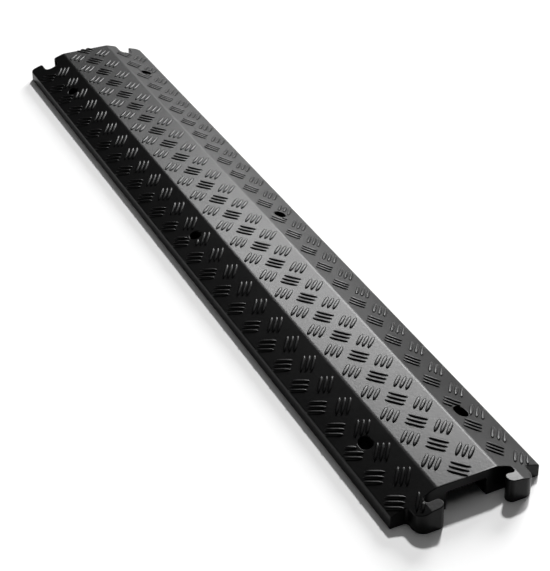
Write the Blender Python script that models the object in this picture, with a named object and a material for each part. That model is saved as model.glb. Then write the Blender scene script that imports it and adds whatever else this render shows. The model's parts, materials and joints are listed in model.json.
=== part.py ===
"""Drop-over cable protector: one moulded ramp with a single channel open to the floor.

The section runs along X. The end with the two hooks is at +X and the end with the two sockets is
at -X, so that the hooks of one ramp go into the sockets of the next. Metres, +Z up, base at Z = 0,
with the origin under the middle of the length over the hooks.
"""

import math

import bmesh
import bpy

MM = 0.001

LENGTH = 907 * MM
WIDTH = 150 * MM
TOP_WIDTH = 60 * MM
HEIGHT = 28 * MM
EDGE_HEIGHT = 12 * MM
RIDGE_RADIUS = 4 * MM
RIM_RADIUS = 2 * MM

CHANNEL_WIDTH = 40 * MM
CHANNEL_HEIGHT = 18 * MM
CHANNEL_RADIUS = 1.5 * MM

HOLE_DIAMETER = 12.5 * MM
SLOT_LENGTH = 3 * MM
ROUND_HOLES = (
    (-361 * MM, -50.5 * MM),
    (6 * MM, -49 * MM),
    (-371 * MM, 52 * MM),
    (6 * MM, 51.5 * MM),
)
SLOTTED_HOLES = (
    (370 * MM, -51 * MM),
    (372 * MM, 45.5 * MM),
)

END_LEAN = 0.09
NECK_INNER = 44.5 * MM
NECK_OUTER = 58.5 * MM
HOOK_REACH = 18 * MM
ARM_THICKNESS = 10.8 * MM
ARM_TIP = 31.7 * MM
ARM_CORNER = 10.5 * MM
ROOT_FILLET = 3 * MM
ARM_START = 45.5 * MM
ARM_DROP = 0.4 * MM
ARM_SLOPE = 0.12

SOCKET_INNER = 43.2 * MM
SOCKET_OUTER = 59.5 * MM
SOCKET_DEPTH = 18.8 * MM
SOCKET_CORNER = 6 * MM
TOOTH_RADIUS = 3 * MM
POCKET_INNER = 31 * MM
POCKET_START = 4.8 * MM
POCKET_CLEARANCE = 0.5 * MM
FAR_CORNER = 6 * MM

FAR_END = -(LENGTH + HOOK_REACH) / 2
NEAR_END = FAR_END + LENGTH
MIDDLE = (FAR_END + NEAR_END) / 2
SLOPE = (HEIGHT - EDGE_HEIGHT) / (WIDTH / 2 - TOP_WIDTH / 2)
ARC_STEPS = 6


def wing_height(y):
    """Height of the wing's sloping surface at a distance y from the centre line."""
    return HEIGHT - SLOPE * (y - TOP_WIDTH / 2)


def arm_height(y):
    """Height of the top of a hook's arm, which lies under the skin of the next ramp."""
    return wing_height(ARM_START) - ARM_DROP + ARM_SLOPE * (ARM_START - y)


def clear_scene():
    for obj in list(bpy.data.objects):
        bpy.data.objects.remove(obj, do_unlink=True)


def rounded(corners, steps=ARC_STEPS):
    """Outline through the corners (a, b, radius), with an arc in place of each rounded corner."""
    outline = []
    for i, (a, b, radius) in enumerate(corners):
        if radius <= 0:
            outline.append((a, b))
            continue
        before, after = corners[i - 1], corners[(i + 1) % len(corners)]
        u = (before[0] - a, before[1] - b)
        v = (after[0] - a, after[1] - b)
        lu, lv = math.hypot(*u), math.hypot(*v)
        u, v = (u[0] / lu, u[1] / lu), (v[0] / lv, v[1] / lv)
        half = math.acos(max(-1, min(1, u[0] * v[0] + u[1] * v[1]))) / 2
        reach = radius / math.tan(half)
        middle = (u[0] + v[0], u[1] + v[1])
        size = math.hypot(*middle)
        away = radius / math.sin(half)
        centre = (a + middle[0] / size * away, b + middle[1] / size * away)
        start = math.atan2(b + u[1] * reach - centre[1], a + u[0] * reach - centre[0])
        stop = math.atan2(b + v[1] * reach - centre[1], a + v[0] * reach - centre[0])
        turn = (stop - start + math.pi) % (2 * math.pi) - math.pi
        for k in range(steps + 1):
            angle = start + turn * k / steps
            outline.append((centre[0] + radius * math.cos(angle), centre[1] + radius * math.sin(angle)))
    return outline


def prism(name, outline, place, low, high):
    """Closed mesh between two copies of the outline. place(a, b, c) gives the point of (a, b) at c."""
    mesh = bpy.data.meshes.new(name)
    shape = bmesh.new()
    rings = [[shape.verts.new(place(a, b, c)) for a, b in outline] for c in (low, high)]
    shape.faces.new(rings[0])
    shape.faces.new(rings[1])
    for i in range(len(outline)):
        j = (i + 1) % len(outline)
        shape.faces.new((rings[0][i], rings[0][j], rings[1][j], rings[1][i]))
    bmesh.ops.recalc_face_normals(shape, faces=shape.faces)
    shape.to_mesh(mesh)
    shape.free()
    obj = bpy.data.objects.new(name, mesh)
    bpy.context.scene.collection.objects.link(obj)
    return obj


def helper(obj):
    """Marks an object as one that only cuts or joins."""
    obj.hide_render = True
    obj.display_type = "WIRE"
    return obj


def boolean(target, tool, operation):
    modifier = target.modifiers.new(tool.name, "BOOLEAN")
    modifier.operation = operation
    modifier.object = helper(tool)
    modifier.solver = "EXACT"


def along_x(y, z, x):
    return (x, y, z)


def along_body(y, z, x):
    """Places the section at x, with the near end leaning back as it rises."""
    return (x - END_LEAN * z if x == NEAR_END else x, y, z)


def plan(end_face, out, side, lean=0):
    """Placer of a plan outline (distance outwards from an end face, distance from the centre line)."""

    def place(reach, y, z):
        return (end_face + out * reach - lean * z, side * y, z)

    return place


def make_body():
    half, top, gap = WIDTH / 2, TOP_WIDTH / 2, CHANNEL_WIDTH / 2
    section = rounded(
        [
            (-half, 0, 0),
            (-half, EDGE_HEIGHT, RIM_RADIUS),
            (-top, HEIGHT, RIDGE_RADIUS),
            (top, HEIGHT, RIDGE_RADIUS),
            (half, EDGE_HEIGHT, RIM_RADIUS),
            (half, 0, 0),
            (gap, 0, 0),
            (gap, CHANNEL_HEIGHT, CHANNEL_RADIUS),
            (-gap, CHANNEL_HEIGHT, CHANNEL_RADIUS),
            (-gap, 0, 0),
        ]
    )
    return prism("ramp", section, along_body, FAR_END, NEAR_END)


def make_hook(side):
    """A neck out of the wing with an arm turned in towards the centre line."""
    gap = HOOK_REACH - ARM_THICKNESS
    round_gap = 0.49 * gap
    outline = rounded(
        [
            (-4 * MM, 63 * MM, 0),
            (0, 63 * MM, 0),
            (0, NECK_OUTER, ROOT_FILLET),
            (HOOK_REACH, NECK_OUTER, ARM_CORNER),
            (HOOK_REACH, ARM_TIP, 0.5 * ARM_THICKNESS),
            (gap, ARM_TIP, 0.45 * ARM_THICKNESS),
            (gap, NECK_INNER, round_gap),
            (0, NECK_INNER, round_gap),
            (0, 37 * MM, 0),
            (-4 * MM, 37 * MM, 0),
        ]
    )
    hook = prism(f"hook {side}", outline, plan(NEAR_END, 1, side, END_LEAN), 0, HEIGHT)
    low, high = 20 * MM, 70 * MM
    over_wing = [
        (side * low, wing_height(low)),
        (side * high, wing_height(high)),
        (side * high, 2 * HEIGHT),
        (side * low, 2 * HEIGHT),
    ]
    ends = (NEAR_END - 10 * MM, NEAR_END + 30 * MM)
    boolean(hook, prism(f"over wing {side}", over_wing, along_x, *ends), "DIFFERENCE")
    over_arm = [
        (side * low, arm_height(low)),
        (side * ARM_START, arm_height(ARM_START)),
        (side * ARM_START, 2 * HEIGHT),
        (side * low, 2 * HEIGHT),
    ]
    ends = (NEAR_END - END_LEAN * HEIGHT, NEAR_END + 30 * MM)
    boolean(hook, prism(f"over arm {side}", over_arm, along_x, *ends), "DIFFERENCE")
    return hook


def make_socket(side):
    """Cutter of the notch that takes a neck, and of the far end's rounded outer corner."""
    outside, edge = 4 * MM, WIDTH / 2
    outline = rounded(
        [
            (outside, 36 * MM, 0),
            (0, 36 * MM, 0),
            (0, SOCKET_INNER, TOOTH_RADIUS),
            (-SOCKET_DEPTH, SOCKET_INNER, SOCKET_CORNER),
            (-SOCKET_DEPTH, SOCKET_OUTER, SOCKET_CORNER),
            (0, SOCKET_OUTER, TOOTH_RADIUS),
            (0, edge, FAR_CORNER),
            (-12 * MM, edge, 0),
            (-12 * MM, edge + outside, 0),
            (outside, edge + outside, 0),
        ]
    )
    return prism(f"socket {side}", outline, plan(FAR_END, -1, side), -5 * MM, 2 * HEIGHT)


def make_pocket(side):
    """Cutter of the pocket under the wing's skin that takes an arm from below."""
    inner, outer = POCKET_INNER, SOCKET_INNER + 3 * MM
    section = [
        (side * inner, -5 * MM),
        (side * outer, -5 * MM),
        (side * outer, arm_height(outer) + POCKET_CLEARANCE),
        (side * inner, arm_height(inner) + POCKET_CLEARANCE),
    ]
    ends = (FAR_END + POCKET_START, FAR_END + SOCKET_DEPTH)
    return prism(f"pocket {side}", section, along_x, *ends)


def make_hole(x, y, slot, index):
    """Cutter of a screw hole, drawn out along X by the slot's length."""
    radius, count = HOLE_DIAMETER / 2, 32
    outline = []
    for k in range(count):
        angle = 2 * math.pi * (k + 0.5) / count
        shift = math.copysign(slot / 2, math.cos(angle))
        outline.append((x + shift + radius * math.cos(angle), y + radius * math.sin(angle)))
    return prism(f"hole {index}", outline, lambda a, b, c: (a, b, c), -5 * MM, 2 * HEIGHT)


def holes():
    places = [(x, y, 0) for x, y in ROUND_HOLES] + [(x, y, SLOT_LENGTH) for x, y in SLOTTED_HOLES]
    return [make_hole(MIDDLE + x, y, slot, index) for index, (x, y, slot) in enumerate(places)]


def rubber():
    material = bpy.data.materials.new("black rubber")
    material.use_nodes = True
    surface = material.node_tree.nodes["Principled BSDF"]
    surface.inputs["Base Color"].default_value = (0.012, 0.012, 0.013, 1)
    surface.inputs["Roughness"].default_value = 0.42
    return material


def main():
    clear_scene()
    ramp = make_body()
    for side in (-1, 1):
        boolean(ramp, make_hook(side), "UNION")
        boolean(ramp, make_socket(side), "DIFFERENCE")
        boolean(ramp, make_pocket(side), "DIFFERENCE")
    for hole in holes():
        boolean(ramp, hole, "DIFFERENCE")
    ramp.data.materials.append(rubber())


main()
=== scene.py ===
"""A drop-over cable protector in black moulded rubber, on a white studio floor.

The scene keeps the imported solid's own frame: metres, the ramp's length along X with its two hooks
at +X, the dark wing at -Y, the bright wing at +Y, and the floor at Z = 0.
"""

import json
import logging
import math
from collections.abc import Callable, Iterator, Sequence
from contextlib import contextmanager
from dataclasses import dataclass, field
from enum import Enum

import bmesh
import bpy
from mathutils import Matrix, Vector

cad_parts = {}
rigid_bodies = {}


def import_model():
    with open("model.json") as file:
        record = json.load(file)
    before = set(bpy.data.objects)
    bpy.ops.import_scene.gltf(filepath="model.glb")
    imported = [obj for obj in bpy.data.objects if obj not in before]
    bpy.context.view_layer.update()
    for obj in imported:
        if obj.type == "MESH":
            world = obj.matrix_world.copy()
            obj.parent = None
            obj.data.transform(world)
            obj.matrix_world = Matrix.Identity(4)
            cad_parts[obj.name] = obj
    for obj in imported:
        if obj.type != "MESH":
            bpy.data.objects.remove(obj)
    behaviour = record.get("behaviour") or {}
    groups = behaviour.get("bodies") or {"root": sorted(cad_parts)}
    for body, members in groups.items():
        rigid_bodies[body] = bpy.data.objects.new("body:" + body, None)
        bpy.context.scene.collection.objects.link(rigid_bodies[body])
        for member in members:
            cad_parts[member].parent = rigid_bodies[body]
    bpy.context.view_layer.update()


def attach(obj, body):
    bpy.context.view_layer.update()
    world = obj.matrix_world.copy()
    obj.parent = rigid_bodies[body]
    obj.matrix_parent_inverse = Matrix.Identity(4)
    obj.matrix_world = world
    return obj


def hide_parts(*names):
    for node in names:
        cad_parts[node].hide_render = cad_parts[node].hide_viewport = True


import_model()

MM = 0.001
NEAR_ENOUGH = 0.05 * MM
OVERCUT = 5 * MM
SMOOTH_ANGLE = math.radians(50)
LOG = logging.getLogger("cable_protector")

Point = tuple[float, float, float]
Item = bmesh.types.BMVert | bmesh.types.BMEdge | bmesh.types.BMFace


class Side(Enum):
    """The two sides of the ramp, as the sign of Y."""

    LEFT = -1
    RIGHT = 1


class Pick(Enum):
    """What is selected in edit mode."""

    POINTS = "VERT"
    EDGES = "EDGE"
    FACES = "FACE"


class Lay(Enum):
    """How a group's bars lie from above: turned from +X towards +Y, or towards -Y."""

    RISING = 1
    FALLING = -1


def close(a: float, b: float, reach: float = NEAR_ENOUGH) -> bool:
    """Tells whether two lengths are the same to within reach."""
    return abs(a - b) < reach


class Bench:
    """The modelling moves that shape every piece."""

    @staticmethod
    def take(obj: bpy.types.Object) -> None:
        """Selects one object alone and makes it the active one.

        Args:
            obj: The object to work on.
        """
        for other in bpy.context.view_layer.objects:
            other.select_set(False)
        obj.hide_set(False)
        obj.select_set(True)
        bpy.context.view_layer.objects.active = obj

    @staticmethod
    def fresh(name: str) -> bpy.types.Object:
        """Names the primitive that was just added and puts its place into its mesh.

        Args:
            name: The object's name.

        Returns:
            The object.
        """
        obj = bpy.context.view_layer.objects.active
        obj.name = obj.data.name = name
        Bench.take(obj)
        bpy.ops.object.transform_apply(location=True, rotation=True, scale=True)
        return obj

    @staticmethod
    def block(name: str, low: Sequence[float], high: Sequence[float]) -> bpy.types.Object:
        """Adds a block between two corners.

        Args:
            name: The object's name.
            low: The lowest corner.
            high: The highest corner.

        Returns:
            The block.
        """
        a, b = Vector(low), Vector(high)
        bpy.ops.object.select_all(action="DESELECT")
        bpy.ops.mesh.primitive_cube_add(size=1, location=(a + b) / 2)
        bpy.context.view_layer.objects.active.scale = b - a
        return Bench.fresh(name)

    @staticmethod
    @contextmanager
    def editing(obj: bpy.types.Object) -> Iterator[None]:
        """Opens an object's mesh in edit mode for the length of a with block.

        Args:
            obj: The object whose mesh is edited.

        Yields:
            Nothing: the operators act on the open mesh.
        """
        Bench.take(obj)
        bpy.ops.object.mode_set(mode="EDIT")
        yield
        bpy.ops.object.mode_set(mode="OBJECT")

    @staticmethod
    def choose(kind: Pick, test: Callable[[Item], bool]) -> int:
        """Selects the points, edges or faces of the open mesh that pass a test.

        Args:
            kind: What to select.
            test: Says whether one item is wanted.

        Returns:
            How many items were selected.
        """
        bpy.ops.mesh.select_mode(type=kind.value)
        bpy.ops.mesh.select_all(action="DESELECT")
        mesh = bpy.context.edit_object.data
        shape = bmesh.from_edit_mesh(mesh)
        items = {Pick.POINTS: shape.verts, Pick.EDGES: shape.edges, Pick.FACES: shape.faces}[kind]
        wanted = [item for item in items if test(item)]
        for item in wanted:
            item.select_set(True)
        shape.select_flush_mode()
        bmesh.update_edit_mesh(mesh)
        return len(wanted)

    @staticmethod
    def split(place: Point, facing: Point, drop_beyond: bool = False) -> None:
        """Cuts the whole open mesh along a plane.

        Args:
            place: A point on the plane.
            facing: The plane's normal.
            drop_beyond: Whether what lies beyond the plane goes, and the cut is closed.
        """
        bpy.ops.mesh.select_mode(type="FACE")
        bpy.ops.mesh.select_all(action="SELECT")
        bpy.ops.mesh.bisect(
            plane_co=place, plane_no=facing, use_fill=drop_beyond, clear_outer=drop_beyond
        )

    @staticmethod
    def round_edges(test: Callable[[bmesh.types.BMEdge], bool], reach: float, steps: int) -> None:
        """Rounds the edges of the open mesh that pass a test.

        Args:
            test: Says whether one edge is rounded.
            reach: How far the rounding goes from the edge along each face.
            steps: The number of facets across the rounding.
        """
        if Bench.choose(Pick.EDGES, test):
            bpy.ops.mesh.bevel(
                offset=reach,
                offset_type="OFFSET",
                segments=steps,
                affect="EDGES",
                clamp_overlap=False,
            )

    @staticmethod
    def finish(obj: bpy.types.Object, kind: str, **settings: object) -> None:
        """Adds a modifier and applies it.

        Args:
            obj: The object that gets it.
            kind: The modifier's type.
            **settings: Its settings by name.
        """
        modifier = obj.modifiers.new(kind.lower(), kind)
        for name, value in settings.items():
            setattr(modifier, name, value)
        Bench.take(obj)
        bpy.ops.object.modifier_apply(modifier=modifier.name)

    @staticmethod
    def combine(obj: bpy.types.Object, tool: bpy.types.Object, operation: str) -> None:
        """Joins a tool to an object or cuts the object with it, and puts the tool away.

        Args:
            obj: The object that changes.
            tool: The object that is used up.
            operation: UNION or DIFFERENCE.
        """
        Bench.finish(obj, "BOOLEAN", operation=operation, object=tool, solver="EXACT")
        bpy.data.objects.remove(tool, do_unlink=True)

    @staticmethod
    def faces_out() -> None:
        """Turns every face of the open mesh outwards."""
        bpy.ops.mesh.select_all(action="SELECT")
        bpy.ops.mesh.normals_make_consistent(inside=False)


class Link:
    """A shader value, on which each operator adds its Math node."""

    def __init__(self, graph: "Graph", socket: bpy.types.NodeSocket) -> None:
        """Wraps a node's output.

        Args:
            graph: The graph that the socket is in.
            socket: The output.
        """
        self.graph = graph
        self.socket = socket

    def _math(self, operation: str, first: "Link | float", second: "Link | float") -> "Link":
        """Adds a Math node for two values and returns its result."""
        return self.graph.node("ShaderNodeMath", {"operation": operation}, {0: first, 1: second})

    def __add__(self, other: "Link | float") -> "Link":
        """Adds a value."""
        return self._math("ADD", self, other)

    def __radd__(self, other: float) -> "Link":
        """Adds this to a number."""
        return self._math("ADD", other, self)

    def __mul__(self, other: "Link | float") -> "Link":
        """Multiplies by a value."""
        return self._math("MULTIPLY", self, other)

    def __rmul__(self, other: float) -> "Link":
        """Multiplies a number by this."""
        return self._math("MULTIPLY", other, self)


class Graph:
    """The node graph of one material."""

    def __init__(self, name: str) -> None:
        """Starts a material that holds only its output and its shader.

        Args:
            name: The material's name.
        """
        self.material = bpy.data.materials.new(name)
        self.material.use_nodes = True
        self.tree = self.material.node_tree
        self.shader = self.tree.nodes["Principled BSDF"]
        self.place = self.node("ShaderNodeTexCoord", {}, {}, "Object")

    def node(
        self,
        kind: str,
        settings: dict[str, object],
        inputs: dict[str | int, object],
        output: str | int = 0,
    ) -> Link:
        """Adds a node.

        Args:
            kind: The node's type.
            settings: Its settings by name, which are set first.
            inputs: A value or a link for each socket, by name or number.
            output: The output that is returned.

        Returns:
            That output.
        """
        made = self.tree.nodes.new(kind)
        for name, value in settings.items():
            setattr(made, name, value)
        for name, value in inputs.items():
            self.feed(made.inputs[name], value)
        return Link(self, made.outputs[output])

    def feed(self, socket: bpy.types.NodeSocket, value: object) -> None:
        """Gives a socket a link or a constant.

        Args:
            socket: The input.
            value: A Link, a number, a vector or a colour.
        """
        if isinstance(value, Link):
            self.tree.links.new(value.socket, socket)
        else:
            socket.default_value = value

    def noise(self, size: float, detail: float, roughness: float = 0.5) -> Link:
        """Adds a noise pattern on the object's own coordinates.

        Args:
            size: The size of its largest spots, in metres.
            detail: The number of finer layers.
            roughness: How strong the finer layers are.

        Returns:
            The pattern, from 0 to 1.
        """
        inputs = {"Vector": self.place, "Scale": 1 / size, "Detail": detail, "Roughness": roughness}
        return self.node("ShaderNodeTexNoise", {}, inputs, 0)

    def blend(self, mask: Link, first: Sequence[float], second: Sequence[float]) -> Link:
        """Goes from one colour to another.

        Args:
            mask: 0 for the first colour and 1 for the second.
            first: The first colour.
            second: The second colour.

        Returns:
            The colour.
        """
        settings = {"data_type": "RGBA"}
        return self.node("ShaderNodeMix", settings, {0: mask, 6: (*first, 1), 7: (*second, 1)}, 2)

    def set(self, name: str, value: object) -> None:
        """Gives one of the shader's sockets a value or a link."""
        self.feed(self.shader.inputs[name], value)


@dataclass(frozen=True)
class MouldedRubber:
    """Black satin rubber with the fine grain of a blasted mould."""

    dark: Point = (0.0014, 0.0014, 0.0015)
    light: Point = (0.0026, 0.0026, 0.0027)
    roughness: float = 0.30
    roughness_spread: float = 0.06
    gloss: float = 0.13
    ior: float = 1.5
    cloud: float = 26 * MM
    grain: float = 2.6 * MM
    grain_depth: float = 0.085 * MM
    grain_in_colour: float = 0.4
    grain_in_roughness: float = 0.45
    swell: float = 55 * MM
    swell_depth: float = 0.10 * MM

    def make(self, name: str) -> bpy.types.Material:
        """Builds the material.

        Args:
            name: The material's name.

        Returns:
            The material.
        """
        graph = Graph(name)
        cloud = graph.noise(self.cloud, 4.0, 0.6)
        grain = graph.noise(self.grain, 2.0, 0.55)
        swell = graph.noise(self.swell, 1.0)
        spots = cloud * (1 - self.grain_in_colour) + grain * self.grain_in_colour
        graph.set("Base Color", graph.blend(spots, self.dark, self.light))
        uneven = cloud * (1 - self.grain_in_roughness) + grain * self.grain_in_roughness
        smoothest = self.roughness - self.roughness_spread
        graph.set("Roughness", uneven * (2 * self.roughness_spread) + smoothest)
        relief = grain * (self.grain_depth / MM) + swell * (self.swell_depth / MM)
        inputs = {"Strength": 1.0, "Distance": MM, "Height": relief}
        graph.set("Normal", graph.node("ShaderNodeBump", {}, inputs, "Normal"))
        graph.set("IOR", self.ior)
        graph.set("Specular IOR Level", self.gloss)
        return graph.material


@dataclass(frozen=True)
class StudioFloor:
    """The matt white floor under the ramp."""

    colour: Point = (0.96, 0.96, 0.96)
    shade: Point = (0.94, 0.94, 0.94)
    cloud: float = 0.6
    roughness: float = 0.75
    gloss: float = 0.2

    def make(self, name: str) -> bpy.types.Material:
        """Builds the material.

        Args:
            name: The material's name.

        Returns:
            The material.
        """
        graph = Graph(name)
        cloud = graph.noise(self.cloud, 2.0)
        graph.set("Base Color", graph.blend(cloud, self.colour, self.shade))
        graph.set("Roughness", self.roughness)
        graph.set("Specular IOR Level", self.gloss)
        return graph.material


@dataclass(frozen=True)
class Hole:
    """A screw hole, by its place from the middle of the body."""

    x: float
    y: float
    slot: float = 0.0
    diameter: float = 12.5 * MM


@dataclass
class Ramp:
    """The moulded body: two wings and a raised top over a channel, with hooks and sockets."""

    length: float = 907 * MM
    width: float = 150 * MM
    top_width: float = 60 * MM
    height: float = 28 * MM
    edge_height: float = 12 * MM
    tread_height: float = 1.25 * MM
    ridge_reach: float = 1.6 * MM
    rim_reach: float = 1.6 * MM
    soft_edge: float = 0.75 * MM
    soft_edge_angle: float = math.radians(32)
    flat_angle: float = math.radians(0.5)
    channel_width: float = 40 * MM
    channel_height: float = 18 * MM
    channel_reach: float = 1.5 * MM
    end_lean: float = 0.09
    neck_inner: float = 44.5 * MM
    neck_outer: float = 58.5 * MM
    hook_reach: float = 18 * MM
    arm_thickness: float = 10.8 * MM
    arm_tip: float = 31.7 * MM
    arm_corner: float = 10.5 * MM
    root_fillet: float = 3 * MM
    arm_start: float = 45.5 * MM
    arm_slope: float = 0.12
    socket_inner: float = 43.2 * MM
    socket_outer: float = 59.5 * MM
    socket_depth: float = 18.8 * MM
    socket_corner: float = 6 * MM
    tooth_radius: float = 3 * MM
    far_corner: float = 6 * MM
    pocket_inner: float = 31 * MM
    pocket_past_socket: float = 0.5 * MM
    pocket_start: float = 4.8 * MM
    pocket_clearance: float = -0.6 * MM
    hole_sides: int = 36
    holes: tuple[Hole, ...] = (
        Hole(-361 * MM, -50.5 * MM),
        Hole(6 * MM, -49 * MM),
        Hole(370 * MM, -51 * MM, 3 * MM),
        Hole(-371 * MM, 52 * MM),
        Hole(6 * MM, 51.5 * MM),
        Hole(372 * MM, 45.5 * MM, 3 * MM),
    )
    far_end: float = field(init=False)
    near_end: float = field(init=False)
    middle: float = field(init=False)
    top: float = field(init=False)

    def __post_init__(self) -> None:
        """Works out the places that follow from the sizes."""
        self.far_end = -(self.length + self.hook_reach) / 2
        self.near_end = self.far_end + self.length
        self.middle = (self.far_end + self.near_end) / 2
        self.top = self.height - self.tread_height

    @property
    def slope(self) -> float:
        """The fall of a wing for each metre outwards."""
        return (self.top - self.edge_height) / ((self.width - self.top_width) / 2)

    def wing_height(self, y: float) -> float:
        """Gives the height of a wing's surface at a distance from the centre line."""
        return self.top - self.slope * (y - self.top_width / 2)

    def arm_height(self, y: float) -> float:
        """Gives the height of the top of a hook's arm at a distance from the centre line."""
        return self.wing_height(self.arm_start) + self.arm_slope * (self.arm_start - y)

    def slab(self) -> bpy.types.Object:
        """Shapes the body and its hooks: a block with hooks pushed out, planed to the wings' fall.

        Returns:
            The body.
        """
        half, crown = self.width / 2, self.top_width / 2
        body = Bench.block("ramp_body", (self.far_end, -half, 0), (self.near_end, half, self.top))
        with Bench.editing(body):
            for side in Side:
                for y in (crown, self.neck_inner, self.neck_outer):
                    Bench.split((0, side.value * y, 0), (0, 1, 0))
            for side in Side:
                self.push_hook(side)
            for side in Side:
                self.round_hook(side)
            reached = self.near_end - NEAR_ENOUGH
            Bench.choose(Pick.POINTS, lambda p: close(p.co.z, self.top) and p.co.x > reached)
            bpy.ops.transform.translate(value=(-self.end_lean * self.top, 0, 0))
            for side in Side:
                s = side.value
                Bench.split((0, s * crown, self.top), (0, s * self.slope, 1), drop_beyond=True)
            self.flatten_arms()
            Bench.faces_out()
        return body

    def push_hook(self, side: Side) -> None:
        """Pushes a neck out of the open mesh's near end and an arm in from the neck's far half.

        Args:
            side: The side of the ramp.
        """
        s, root, gap = side.value, self.near_end, self.hook_reach - self.arm_thickness

        def front(face: bmesh.types.BMFace) -> bool:
            """Tells whether a face is the front of the neck."""
            middle = face.calc_center_median()
            on_neck = self.neck_inner < s * middle.y < self.neck_outer
            return face.normal.x > 0.9 and middle.x > root - NEAR_ENOUGH and on_neck

        def inner(face: bmesh.types.BMFace) -> bool:
            """Tells whether a face is the neck's inner side, past the gap."""
            middle = face.calc_center_median()
            on_side = s * face.normal.y < -0.9 and close(s * middle.y, self.neck_inner)
            return on_side and middle.x > root + gap

        for push in (gap, self.arm_thickness):
            Bench.choose(Pick.FACES, front)
            bpy.ops.mesh.extrude_region_move(TRANSFORM_OT_translate={"value": (push, 0, 0)})
        Bench.faces_out()
        Bench.choose(Pick.FACES, inner)
        reach = s * (self.arm_tip - self.neck_inner)
        bpy.ops.mesh.extrude_region_move(TRANSFORM_OT_translate={"value": (0, reach, 0)})
        Bench.faces_out()

    def round_hook(self, side: Side) -> None:
        """Rounds a hook's upright edges in the open mesh.

        Args:
            side: The side of the ramp.
        """
        s, root, gap = side.value, self.near_end, self.hook_reach - self.arm_thickness
        turns = (
            (root, self.neck_outer, self.root_fillet, 5),
            (root + self.hook_reach, self.neck_outer, self.arm_corner, 10),
            (root + self.hook_reach, self.arm_tip, 0.5 * self.arm_thickness, 7),
            (root + gap, self.arm_tip, 0.45 * self.arm_thickness, 7),
            (root + gap, self.neck_inner, 0.49 * gap, 7),
            (root, self.neck_inner, 0.49 * gap, 7),
        )
        for x, y, radius, steps in turns:
            Bench.round_edges(self.upright_at(x, s * y), radius, steps)

    def flatten_arms(self) -> None:
        """Brings the tops of the arms down from the wings' slope to their own, in the open mesh."""
        gap = self.hook_reach - self.arm_thickness
        start = self.near_end + 0.5 * gap
        crease = self.wing_height(self.arm_start)
        for x in (self.near_end, start):
            Bench.split((x, 0, 0), (1, 0, self.end_lean))
        for side in Side:
            Bench.split((0, side.value * self.arm_start, 0), (0, 1, 0))

        def on_arm(point: bmesh.types.BMVert) -> bool:
            """Tells whether a point is on the top of an arm."""
            past = point.co.x + self.end_lean * point.co.z > start - NEAR_ENOUGH
            return past and abs(point.co.y) < self.arm_start - NEAR_ENOUGH and point.co.z > crease

        Bench.choose(Pick.POINTS, on_arm)
        share = self.arm_slope / self.slope
        bpy.ops.transform.resize(value=(1, 1, share), center_override=(self.near_end, 0, crease))

    def channel(self) -> bpy.types.Object:
        """Shapes the cutter of the channel, open to the floor.

        Returns:
            The cutter.
        """
        half = self.channel_width / 2
        low = (self.far_end - OVERCUT, -half, -OVERCUT)
        high = (self.near_end + OVERCUT, half, self.channel_height)
        cutter = Bench.block("channel", low, high)
        with Bench.editing(cutter):
            Bench.round_edges(self.along_at(half, self.channel_height), self.channel_reach, 4)
        return cutter

    @staticmethod
    def along_at(y: float, z: float) -> Callable[[bmesh.types.BMEdge], bool]:
        """Makes the test for an edge along X at a height, at a distance from the centre line."""

        def test(edge: bmesh.types.BMEdge) -> bool:
            """Tells whether both ends of an edge are there."""
            return all(close(abs(p.co.y), y) and close(p.co.z, z) for p in edge.verts)

        return test

    @staticmethod
    def upright_at(x: float, y: float) -> Callable[[bmesh.types.BMEdge], bool]:
        """Makes the test for an upright edge over a point of the plan."""

        def test(edge: bmesh.types.BMEdge) -> bool:
            """Tells whether both ends of an edge stand there."""
            return all(close(p.co.x, x) and close(p.co.y, y) for p in edge.verts)

        return test

    def socket(self, side: Side) -> bpy.types.Object:
        """Shapes the cutter of the notch that takes the next ramp's neck.

        Args:
            side: The side of the ramp.

        Returns:
            The cutter.
        """
        s, bottom = side.value, self.far_end + self.socket_depth
        y = sorted((s * self.socket_inner, s * self.socket_outer))
        low = (self.far_end - OVERCUT, y[0], -OVERCUT)
        cutter = Bench.block(f"socket_{side.name}", low, (bottom, y[1], 2 * self.height))
        with Bench.editing(cutter):
            for at in y:
                Bench.round_edges(self.upright_at(bottom, at), self.socket_corner, 8)
        return cutter

    def pocket(self, side: Side) -> bpy.types.Object:
        """Shapes the cutter of the room for an arm, under the skin and open below.

        Args:
            side: The side of the ramp.

        Returns:
            The cutter.
        """
        s, inner = side.value, self.pocket_inner
        outer = self.socket_inner + self.pocket_past_socket
        y = sorted((s * inner, s * outer))
        ends = (self.far_end + self.pocket_start, self.far_end + self.socket_depth)
        roof = self.arm_height(outer) + self.pocket_clearance
        low, high = (ends[0], y[0], -OVERCUT), (ends[1], y[1], roof)
        cutter = Bench.block(f"pocket_{side.name}", low, high)
        with Bench.editing(cutter):
            Bench.choose(Pick.POINTS, lambda p: close(p.co.y, s * inner) and p.co.z > 0)
            rise = self.arm_height(inner) - self.arm_height(outer)
            bpy.ops.transform.translate(value=(0, 0, rise))
        return cutter

    def on_crease(self, edge: bmesh.types.BMEdge) -> bool:
        """Tells whether an edge lies where an arm's top meets the neck's slope."""
        return all(
            close(abs(p.co.y), self.arm_start) and p.co.x > self.near_end and p.co.z > MM
            for p in edge.verts
        )

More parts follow.
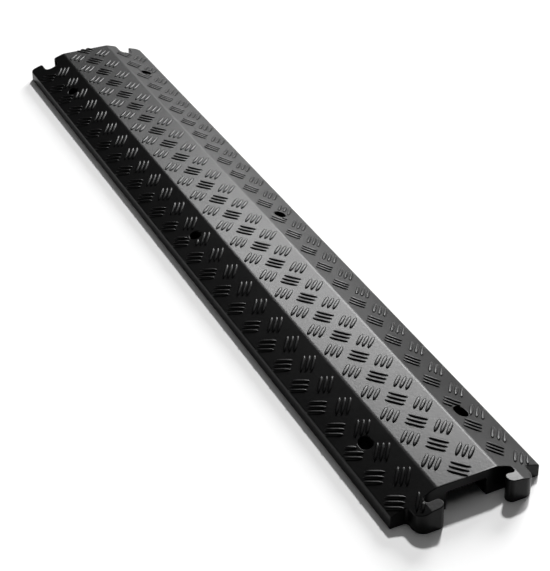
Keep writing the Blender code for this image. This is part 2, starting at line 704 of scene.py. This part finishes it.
    def drill(self, hole: Hole, index: int) -> bpy.types.Object:
        """Shapes the cutter of a screw hole.

        Args:
            hole: The hole.
            index: Its number.

        Returns:
            The cutter.
        """
        bpy.ops.object.select_all(action="DESELECT")
        bpy.ops.mesh.primitive_cylinder_add(
            vertices=self.hole_sides,
            radius=hole.diameter / 2,
            depth=2 * self.height,
            location=(self.middle + hole.x, hole.y, self.height / 2),
        )
        drill = Bench.fresh(f"drill_{index}")
        at = self.middle + hole.x
        if hole.slot:
            with Bench.editing(drill):
                for way in (-1, 1):
                    Bench.choose(Pick.POINTS, lambda p, way=way: way * (p.co.x - at) > NEAR_ENOUGH)
                    bpy.ops.transform.translate(value=(way * hole.slot / 2, 0, 0))
        return drill

    def build(self) -> bpy.types.Object:
        """Builds the whole body.

        Returns:
            The body.
        """
        body = self.slab()
        for side in Side:
            Bench.combine(body, self.socket(side), "DIFFERENCE")
        half, crown = self.width / 2, self.top_width / 2
        with Bench.editing(body):
            for side in Side:
                for y in (self.socket_inner, self.socket_outer):
                    tooth = self.upright_at(self.far_end, side.value * y)
                    Bench.round_edges(tooth, self.tooth_radius, 5)
                corner = self.upright_at(self.far_end, side.value * half)
                Bench.round_edges(corner, self.far_corner, 7)
            Bench.round_edges(self.along_at(crown, self.top), self.ridge_reach, 5)
            Bench.round_edges(self.along_at(half, self.edge_height), self.rim_reach, 4)
        Bench.combine(body, self.channel(), "DIFFERENCE")
        for side in Side:
            Bench.combine(body, self.pocket(side), "DIFFERENCE")
        for index, hole in enumerate(self.holes):
            Bench.combine(body, self.drill(hole, index), "DIFFERENCE")
        with Bench.editing(body):
            bpy.ops.mesh.select_all(action="SELECT")
            bpy.ops.mesh.remove_doubles(threshold=0.01 * MM)
            bpy.ops.mesh.select_all(action="SELECT")
            bpy.ops.mesh.dissolve_limited(angle_limit=self.flat_angle)
        Bench.finish(
            body,
            "BEVEL",
            width=self.soft_edge,
            segments=3,
            limit_method="ANGLE",
            angle_limit=self.soft_edge_angle,
            use_clamp_overlap=False,
            miter_outer="MITER_ARC",
        )
        with Bench.editing(body):
            Bench.faces_out()
        Bench.take(body)
        bpy.ops.object.shade_smooth_by_angle(angle=SMOOTH_ANGLE)
        with Bench.editing(body):
            Bench.choose(Pick.EDGES, self.on_crease)
            bpy.ops.mesh.mark_sharp()
        Bench.finish(body, "WEIGHTED_NORMAL", mode="FACE_AREA", weight=100, keep_sharp=True)
        return body


@dataclass(frozen=True, eq=False)
class Face:
    """A flat face of the ramp that carries tread, by a line along its middle."""

    name: str
    y: float
    z: float
    tilt: float
    turns: dict[Lay, float]

    def at(self, x: float, across: float, turn: float) -> Matrix:
        """Gives the placing of something that lies on the face.

        Args:
            x: The place along the ramp.
            across: The distance up +Y from the face's own line, along the slope.
            turn: The turn from +X, in radians.

        Returns:
            The matrix.
        """
        line = Matrix.Translation((x, self.y, self.z)) @ Matrix.Rotation(self.tilt, 4, "X")
        return line @ Matrix.Translation((0, across, 0)) @ Matrix.Rotation(turn, 4, "Z")


@dataclass(frozen=True)
class Row:
    """A row of tread groups, by its places from the middle of the body."""

    first: float
    pitch: float
    count: int
    across: float
    lay: Lay
    bar_length: float
    growth: float = 0.0
    spacing: float = 5.65 * MM

    def place(self, group: int) -> float:
        """Gives the place of one of its groups along the ramp."""
        return self.first + group * (self.pitch + group * self.growth)


@dataclass
class Tread:
    """The raised bars, in groups of three whose direction changes from row to row."""

    ramp: Ramp
    bar_width: float = 4.3 * MM
    bar_sink: float = 0.3 * MM
    bar_sides: int = 14
    bars: int = 3
    hole_margin: float = 2.2 * MM
    socket_margin: float = 2 * MM
    end_margin: float = 0.4 * MM
    neck_share: float = 0.75
    shortest: float = 6 * MM
    looks_along_bar: int = 48
    rings: tuple[tuple[float, float, float], ...] = (
        (0.50, 0.06, 0.12),
        (0.45, 0.44, 0.62),
        (0.36, 0.74, 0.86),
        (0.20, 0.94, 0.97),
    )

    def bar(self) -> bpy.types.Object:
        """Shapes one bar of unit length: the top of an oval, drawn in towards its pointed ends.

        Returns:
            The bar, along X, with the face that it stands on at Z = 0.
        """
        bpy.ops.object.select_all(action="DESELECT")
        bpy.ops.mesh.primitive_cylinder_add(
            vertices=self.bar_sides, radius=0.5, depth=1, rotation=(0, math.pi / 2, 0)
        )
        bar = Bench.fresh("tread_bar")
        with Bench.editing(bar):
            bpy.ops.mesh.select_all(action="SELECT")
            size = (1, self.bar_width, 2 * self.ramp.tread_height)
            bpy.ops.transform.resize(value=size, center_override=(0, 0, 0))
            Bench.split((0, 0, -self.bar_sink), (0, 0, -1), drop_beyond=True)
            for place, _, _ in self.rings[1:]:
                for x in (place, -place):
                    Bench.split((x, 0, 0), (1, 0, 0))
            for place, narrow, low in self.rings:
                for x in (place, -place):
                    Bench.choose(Pick.POINTS, lambda p, x=x: close(p.co.x, x))
                    bpy.ops.transform.resize(value=(1, narrow, 1), center_override=(x, 0, 0))
                    Bench.choose(Pick.POINTS, lambda p, x=x: close(p.co.x, x) and p.co.z > 0)
                    bpy.ops.transform.resize(value=(1, 1, low), center_override=(x, 0, 0))
            Bench.faces_out()
        return bar

    def free_run(
        self, face: Face, x: float, across: float, turn: float, length: float
    ) -> tuple[float, float]:
        """Finds the longest stretch of a bar that keeps clear of the holes and the sockets.

        Args:
            face: The face that the bar lies on.
            x: The bar's middle along the ramp.
            across: The bar's middle across the face.
            turn: The bar's direction.
            length: The bar's full length.

        Returns:
            The stretch's two ends, from -0.5 to 0.5.
        """
        steps, best, start = self.looks_along_bar, (0.0, 0.0), None
        for k in range(steps + 2):
            t = -0.5 + k / steps
            point = face.at(x, across, turn) @ Vector((t * length, 0, 0))
            clear = k <= steps and self.is_clear(point)
            if clear and start is None:
                start = t
            if not clear and start is not None:
                if t - 1 / steps - start > best[1] - best[0]:
                    best = (start, t - 1 / steps)
                start = None
        return best

    def is_clear(self, point: Vector) -> bool:
        """Tells whether a point of a face is clear of every hole, socket and end.

        Args:
            point: The point.

        Returns:
            Whether a bar may be there.
        """
        ramp = self.ramp
        for hole in ramp.holes:
            away = math.hypot(point.x - ramp.middle - hole.x, point.y - hole.y)
            if away < hole.diameter / 2 + self.hole_margin:
                return False
        margin = self.socket_margin
        out, past_end = abs(point.y), point.x + ramp.end_lean * point.z - ramp.near_end
        on_neck = ramp.arm_start < out < ramp.neck_outer - margin
        if past_end > (self.neck_share * ramp.hook_reach if on_neck else -self.end_margin):
            return False
        in_socket = ramp.socket_inner - margin < out < ramp.socket_outer + margin
        return not (in_socket and point.x < ramp.far_end + ramp.socket_depth + margin)

    def lay_row(self, master: bpy.types.Object, face: Face, row: Row) -> list[bpy.types.Object]:
        """Copies the bar to every place of a row.

        Args:
            master: The bar that is copied.
            face: The face that the row lies on.
            row: The row.

        Returns:
            The copies.
        """
        made = []
        turn = face.turns[row.lay]
        stack = Vector((-math.sin(turn), math.cos(turn)))
        for group in range(row.count):
            x = self.ramp.middle + row.place(group)
            for k in range(self.bars):
                away = (k - (self.bars - 1) / 2) * row.spacing
                at, across = x + stack.x * away, row.across + stack.y * away
                low, high = self.free_run(face, at, across, turn, row.bar_length)
                if (high - low) * row.bar_length < self.shortest:
                    continue
                mesh = master.data.copy()
                shift = Matrix.Translation(((low + high) / 2 * row.bar_length, 0, 0))
                stretch = Matrix.Diagonal(((high - low) * row.bar_length, 1, 1, 1))
                mesh.transform(face.at(at, across, turn) @ shift @ stretch)
                copy = bpy.data.objects.new(f"{face.name}_bar", mesh)
                bpy.context.scene.collection.objects.link(copy)
                made.append(copy)
        return made

    def build(self, face: Face, rows: Sequence[Row]) -> bpy.types.Object:
        """Lays all the bars of one face and cuts off what would stand past the ramp's ends.

        Args:
            face: The face.
            rows: Its rows.

        Returns:
            The bars as one piece.
        """
        master = self.bar()
        bars = [bar for row in rows for bar in self.lay_row(master, face, row)]
        bpy.data.objects.remove(master, do_unlink=True)
        Bench.take(bars[0])
        for bar in bars:
            bar.select_set(True)
        bpy.ops.object.join()
        tread = bpy.context.view_layer.objects.active
        tread.name = tread.data.name = face.name
        ramp, margin = self.ramp, self.end_margin
        edge = ramp.width / 2 - margin
        with Bench.editing(tread):
            Bench.split((ramp.far_end + margin, 0, 0), (-1, 0, 0), drop_beyond=True)
            for side in Side:
                Bench.split((0, side.value * edge, 0), (0, side.value, 0), drop_beyond=True)
            Bench.faces_out()
        Bench.take(tread)
        bpy.ops.object.shade_smooth_by_angle(angle=SMOOTH_ANGLE)
        return tread


@dataclass(frozen=True)
class Lamp:
    """A light by its direction, in degrees round from +X towards +Y and up from the floor."""

    name: str
    azimuth: float
    elevation: float
    power: float

    def towards(self) -> Vector:
        """Gives the unit vector towards the light."""
        a, e = math.radians(self.azimuth), math.radians(self.elevation)
        return Vector((math.cos(e) * math.cos(a), math.cos(e) * math.sin(a), math.sin(e)))

    def hang_as(self, light: bpy.types.Light, place: Vector) -> bpy.types.Object:
        """Hangs a light at a place, turned down its direction.

        Args:
            light: The light.
            place: Where it hangs.

        Returns:
            The light's object.
        """
        light.energy = self.power
        lamp = bpy.data.objects.new(self.name, light)
        bpy.context.scene.collection.objects.link(lamp)
        lamp.location = place
        lamp.rotation_euler = self.towards().to_track_quat("Z", "Y").to_euler()
        return lamp


@dataclass(frozen=True)
class Softbox(Lamp):
    """A square soft light, at a distance from what it is aimed at."""

    distance: float = 2.5
    side: float = 0.55
    aim: Point = (0.0, 0.0, 0.0)

    def hang(self) -> bpy.types.Object:
        """Hangs the light.

        Returns:
            The light's object.
        """
        light = bpy.data.lights.new(self.name, "AREA")
        light.shape, light.size = "SQUARE", self.side
        return self.hang_as(light, Vector(self.aim) + self.towards() * self.distance)


@dataclass(frozen=True)
class Sun(Lamp):
    """An even light from one direction, as wide across the sky as its angle."""

    angle: float = 5.0

    def hang(self) -> bpy.types.Object:
        """Hangs the light.

        Returns:
            The light's object.
        """
        light = bpy.data.lights.new(self.name, "SUN")
        light.angle = math.radians(self.angle)
        return self.hang_as(light, self.towards())


@dataclass
class Studio:
    """The floor, the lights and the camera."""

    floor_size: float = 60.0
    camera_place: Point = (1.13726, -0.54971, 0.82731)
    camera_forward: Point = (-0.7258181, 0.38000034, -0.57340021)
    camera_right: Point = (0.45244347, 0.89160793, 0.01817177)
    focal_pixels: float = 1401.0
    frame_pixels: int = 571
    sensor: float = 36.0
    sight: float = 50.0
    fill: float = 0.012
    softboxes: tuple[Softbox, ...] = (
        Softbox("key", 124.0, 38.0, 37.3),
        Softbox("upper_middle", 136.0, 38.0, 11.6),
        Softbox("upper_middle_left", 148.0, 38.0, 15.1),
        Softbox("upper_left", 160.0, 38.0, 17.7),
        Softbox("top_middle", 136.0, 50.0, 6.6),
        Softbox("ridge_right", 112.0, 28.0, 15.7),
        Softbox("ridge_middle", 136.0, 28.0, 18.7),
        Softbox("ridge_left", 148.0, 28.0, 2.7),
        Softbox("lower_right", 100.0, 18.0, 9.7),
        Softbox("lower_middle", 136.0, 18.0, 1.7),
        Softbox("lower_middle_left", 148.0, 18.0, 4.6),
        Softbox("lower_left", 160.0, 18.0, 0.9),
        Softbox("side_wash", 250.0, 14.0, 14.3, side=1.1),
        Softbox("front_wash", 300.0, 25.0, 3.0, distance=2.0, side=1.1, aim=(0.5, -0.8, 0.0)),
    )
    floor_lights: tuple[Sun, ...] = (
        Sun("floor_key", 142.0, 46.0, 2.6),
        Sun("floor_low", 132.0, 18.0, 4.0, angle=26.0),
        Sun("floor_top", 136.0, 80.0, 0.42, angle=60.0),
    )

    def lay_floor(self) -> bpy.types.Object:
        """Lays the level floor under the ramp.

        Returns:
            The floor.
        """
        bpy.ops.object.select_all(action="DESELECT")
        bpy.ops.mesh.primitive_plane_add(size=self.floor_size, location=(0, 0, 0))
        floor = Bench.fresh("floor")
        floor.data.materials.append(StudioFloor().make("white_floor"))
        return floor

    def light_up(self, floor: bpy.types.Object, pieces: Sequence[bpy.types.Object]) -> None:
        """Hangs the lights and sets the even fill around them.

        Args:
            floor: The floor, which has its own lights.
            pieces: The pieces of the ramp, which the softboxes light.
        """
        on_ramp = bpy.data.collections.new("lit_by_softboxes")
        on_floor = bpy.data.collections.new("lit_by_floor_lights")
        on_floor.objects.link(floor)
        for piece in pieces:
            on_ramp.objects.link(piece)
        for softbox in self.softboxes:
            softbox.hang().light_linking.receiver_collection = on_ramp
        for sun in self.floor_lights:
            sun.hang().light_linking.receiver_collection = on_floor
        world = bpy.data.worlds.new("studio")
        bpy.context.scene.world = world
        world.use_nodes = True
        background = world.node_tree.nodes["Background"]
        background.inputs["Color"].default_value = (1, 1, 1, 1)
        background.inputs["Strength"].default_value = self.fill
        bpy.context.scene.view_settings.view_transform = "Standard"

    def set_camera(self) -> bpy.types.Object:
        """Sets the camera at the photograph's view.

        Returns:
            The camera.
        """
        lens = bpy.data.cameras.new("camera")
        lens.sensor_fit, lens.sensor_width = "AUTO", self.sensor
        lens.lens = self.focal_pixels / self.frame_pixels * self.sensor
        lens.clip_end = self.sight
        camera = bpy.data.objects.new("camera", lens)
        bpy.context.scene.collection.objects.link(camera)
        back = -Vector(self.camera_forward).normalized()
        right = Vector(self.camera_right).normalized()
        turned = Matrix((right, back.cross(right), back)).transposed()
        camera.matrix_world = Matrix.Translation(self.camera_place) @ turned.to_4x4()
        bpy.context.scene.camera = camera
        return camera


def tread_plan(ramp: Ramp) -> dict[Face, tuple[Row, ...]]:
    """Says where the tread lies on each face.

    Args:
        ramp: The body that carries it.

    Returns:
        The rows of each face.
    """
    crown = ramp.top_width / 2
    tilt = math.atan(ramp.slope)
    on_top = {Lay.RISING: math.radians(42.5), Lay.FALLING: math.radians(-47.5)}
    on_wing = {Lay.RISING: math.radians(50), Lay.FALLING: math.radians(-40)}
    short, long = 18.7 * MM, 21.2 * MM
    top = Face("top_tread", 0.0, ramp.top, 0.0, on_top)
    left = Face("left_tread", -crown, ramp.top, tilt, on_wing)
    right = Face("right_tread", crown, ramp.top, -tilt, on_wing)
    return {
        top: (
            Row(-449.7 * MM, 34.2 * MM, 27, -0.8 * MM, Lay.RISING, short),
            Row(-432.6 * MM, 34.2 * MM, 26, 16.4 * MM, Lay.FALLING, short),
            Row(-432.6 * MM, 34.2 * MM, 26, -17.6 * MM, Lay.FALLING, short),
        ),
        left: (
            Row(-411.8 * MM, 32.68 * MM, 27, -16.8 * MM, Lay.FALLING, long, 0.0275 * MM, 5.1 * MM),
            Row(-415.3 * MM, 31.66 * MM, 27, -36.3 * MM, Lay.RISING, short, 0.0493 * MM),
        ),
        right: (
            Row(-427.6 * MM, 34.2 * MM, 26, 15.2 * MM, Lay.RISING, 17.2 * MM),
            Row(-416.6 * MM, 34.38 * MM, 26, 34 * MM, Lay.FALLING, long),
        ),
    }


def main() -> None:
    """Builds the pieces in order, dresses them and sets the studio."""
    logging.basicConfig(level=logging.INFO, format="%(name)s: %(message)s")
    studio = Studio()
    studio.set_camera()
    ramp = Ramp()
    rubber = MouldedRubber().make("moulded_rubber")
    pieces = [ramp.build()]
    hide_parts("ramp")
    tread = Tread(ramp)
    for face, rows in tread_plan(ramp).items():
        pieces.append(tread.build(face, rows))
    for piece in pieces:
        piece.data.materials.clear()
        piece.data.materials.append(rubber)
        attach(piece, "root")
        LOG.info("%s: %d faces", piece.name, len(piece.data.polygons))
    floor = studio.lay_floor()
    studio.light_up(floor, pieces)


if __name__ == "__main__":
    main()
